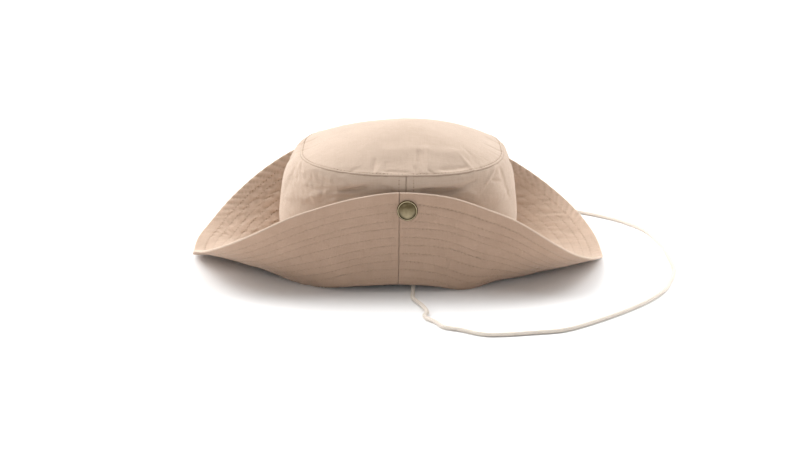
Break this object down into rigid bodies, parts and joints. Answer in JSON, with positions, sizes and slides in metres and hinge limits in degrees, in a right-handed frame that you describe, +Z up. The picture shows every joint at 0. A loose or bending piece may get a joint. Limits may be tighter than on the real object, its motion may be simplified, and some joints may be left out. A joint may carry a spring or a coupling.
{
  "type": "safari hat",
  "caption": "Soft cotton safari hat, its wide quilted brim snapped up on both sides of the domed crown, with a loose chin cord; worn on the head against the sun.",
  "frame": {"origin": "on the plane the hat rests on, under the middle of the hat's box without its cord", "axes": "+X from the front of the hat to its back, along the head; -Y and +Y out of the two snapped-up sides; +Z up through the crown"},
  "size_m": [0.4161, 0.3048, 0.1212],
  "materials": {
    "crown_cloth": "matt plain-woven cotton, beige",
    "brim_cloth": "matt plain-woven cotton in two quilted plies, beige",
    "snap_brass": "antique brass, satin",
    "cord_cotton": "braided cotton cord, cream"
  },
  "bodies": {
    "root": {"crown_top": "crown_cloth", "crown_side_front": "crown_cloth", "crown_side_back": "crown_cloth", "brim_front": "brim_cloth", "brim_back": "brim_cloth", "snap_cap_near": "snap_brass", "snap_stud_near": "snap_brass", "snap_cap_far": "snap_brass", "snap_stud_far": "snap_brass", "cord_tab_near": "crown_cloth", "cord_tab_far": "crown_cloth", "chin_cord": "cord_cotton"}
  },
  "joints": []
}
